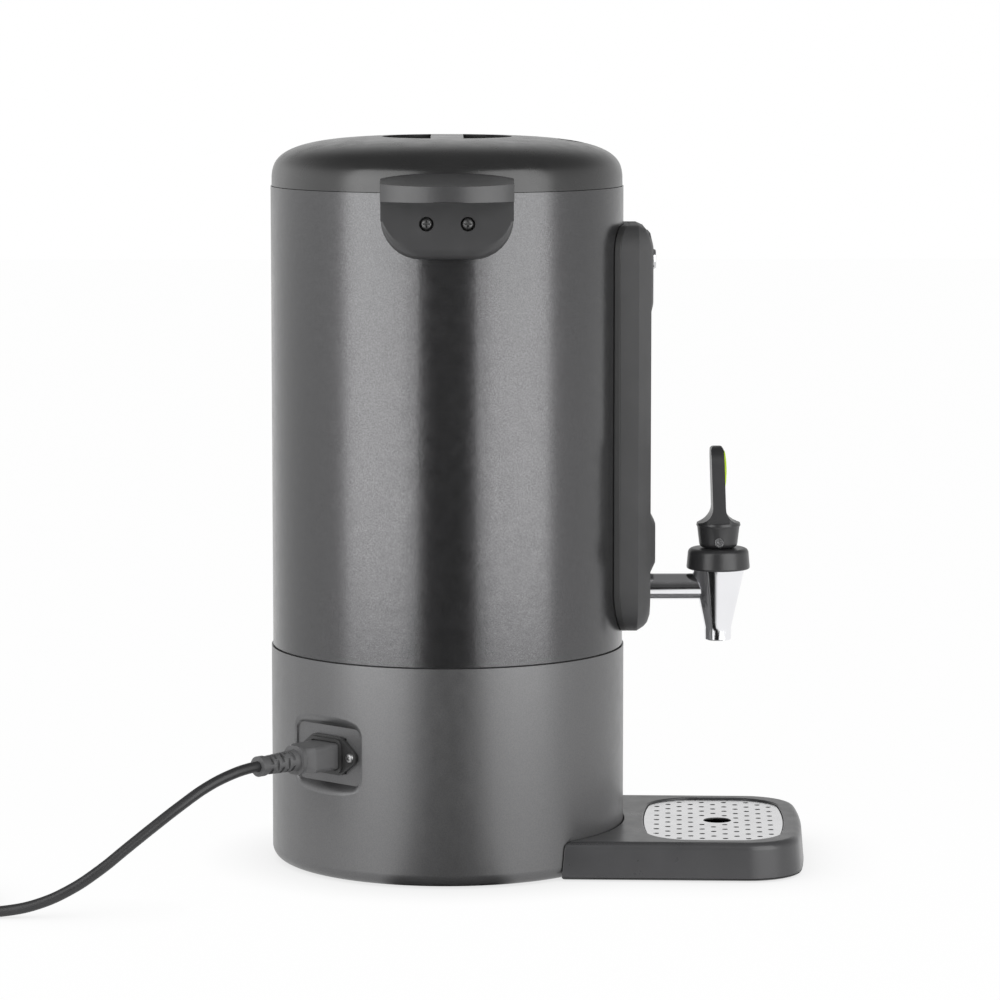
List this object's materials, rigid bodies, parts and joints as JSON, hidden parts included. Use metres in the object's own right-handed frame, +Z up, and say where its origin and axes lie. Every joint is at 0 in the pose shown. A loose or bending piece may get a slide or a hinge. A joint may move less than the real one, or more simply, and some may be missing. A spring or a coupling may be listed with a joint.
{
  "type": "hot water urn",
  "caption": "Cylindrical double-walled hot water urn with lift-off lid, carry handles, sight-glass panel, self-closing tap, drip tray and mains lead.",
  "frame": {"origin": "on the urn's vertical axis, at the table, in the plane of the foot ring's underside", "axes": "+Z up along the urn's axis; the tap, panel and drip tray face -Y; the carry handles lie along X; the mains inlet is at the back, between +Y and -X"},
  "size_m": [0.3422, 0.5919, 0.4505],
  "materials": {
    "shell_paint": "semi-gloss charcoal powder coat with a fine speckle",
    "lid_plastic": "satin black moulded plastic",
    "handle_plastic": "satin charcoal moulded plastic",
    "panel_plastic": "satin charcoal moulded plastic",
    "tap_chrome": "polished chrome plate",
    "tap_plastic": "satin black moulded plastic",
    "lime_insert": "glossy lime-green plastic",
    "tray_plastic": "matt charcoal moulded plastic",
    "grille_steel": "satin stainless steel",
    "tank_steel": "satin stainless steel",
    "zinc_steel": "bright zinc plate",
    "black_screw": "black oxide screws",
    "cast_aluminium": "as cast",
    "element_sheath": "annealed steel sheath",
    "ceramic": "unglazed ceramic and thermoset",
    "silicone": "translucent white silicone",
    "red_silicone": "red silicone",
    "black_rubber": "matt black rubber",
    "clear_glass": "clear borosilicate tube",
    "black_plastic": "matt black thermoplastic",
    "button_plastic": "glossy black plastic",
    "nickel_pin": "nickel-plated brass",
    "cord_pvc": "matt black PVC sheath",
    "wire_brown": "silicone wire insulation",
    "wire_grey": "silicone wire insulation"
  },
  "bodies": {
    "urn": {"base_housing": "shell_paint", "base_plate": "black_plastic", "foot_ring": "black_rubber", "base_screws": "zinc_steel", "seam_ring": "black_rubber", "chassis_ring": "zinc_steel", "chassis_screws": "zinc_steel", "outer_shell": "shell_paint", "inner_tank": "tank_steel", "tank_standoffs": "zinc_steel", "heating_plate": "cast_aluminium", "heating_element": "element_sheath", "thermostat": "ceramic", "thermal_cutout": "ceramic", "terminal_block": "ceramic", "supply_wires": "wire_brown", "handle_left": "handle_plastic", "handle_right": "handle_plastic", "handle_screws": "black_screw", "handle_rivnuts": "zinc_steel", "panel_frame": "black_plastic", "front_panel": "panel_plastic", "sight_glass": "clear_glass", "glass_elbows": "black_plastic", "glass_seals": "red_silicone", "glass_nuts": "zinc_steel", "button_bezel": "tap_chrome", "power_switch": "black_plastic", "switch_wires": "wire_grey", "outlet_sleeve": "tank_steel", "tap_body": "tap_chrome", "tap_tube": "tap_chrome", "tap_gasket": "silicone", "tap_nut": "zinc_steel", "tap_bonnet": "tap_plastic", "tap_spring": "zinc_steel", "inlet_socket": "black_plastic", "inlet_pins": "nickel_pin", "inlet_screws": "black_screw", "cord_connector": "cord_pvc", "mains_cord": "cord_pvc", "cord_coil": "cord_pvc", "coil_tie": "black_plastic", "cord_tail": "cord_pvc", "mains_plug": "cord_pvc", "plug_pins": "nickel_pin"},
    "lid": {"lid_cover": "lid_plastic", "lid_liner": "black_plastic", "lid_seal": "silicone", "lid_vent": "black_plastic", "lid_screws": "zinc_steel"},
    "power_button": {"power_button": "button_plastic"},
    "tap_stem": {"tap_stem": "zinc_steel", "seat_cup": "silicone"},
    "tap_handle": {"tap_handle": "tap_plastic", "handle_insert": "lime_insert", "handle_pin": "black_screw"},
    "drip_tray": {"drip_tray": "tray_plastic", "tray_pads": "black_rubber"},
    "drip_grille": {"drip_grille": "grille_steel"}
  },
  "joints": [
    {"name": "lid_lift", "type": "slide", "parent": "urn", "child": "lid", "axis": [0, 0, 1], "range_m": [0, 0.12]},
    {"name": "button_press", "type": "slide", "parent": "urn", "child": "power_button", "axis": [0, 1, 0], "range_m": [0, 0.002], "stiffness_N_per_m": 300, "springref_m": -0.0005},
    {"name": "stem_lift", "type": "slide", "parent": "urn", "child": "tap_stem", "axis": [0, 0, 1], "range_m": [0, 0.0036], "stiffness_N_per_m": 400, "springref_m": -0.004, "deforming": ["tap_spring"]},
    {"name": "handle_tilt", "type": "hinge", "parent": "tap_stem", "child": "tap_handle", "pos_m": [0, -0.169, 0.19845], "axis": [1, 0, 0], "range_deg": [0, 25]},
    {"name": "tray_slide", "type": "slide", "parent": "urn", "child": "drip_tray", "axis": [-0.0523, -0.9986, 0], "range_m": [0, 0.15]},
    {"name": "grille_lift", "type": "slide", "parent": "drip_tray", "child": "drip_grille", "axis": [0, 0, 1], "range_m": [0, 0.04]}
  ],
  "couplings": [
    {"joint": "handle_tilt", "follows": "stem_lift", "rad_per_m": 120}
  ]
}
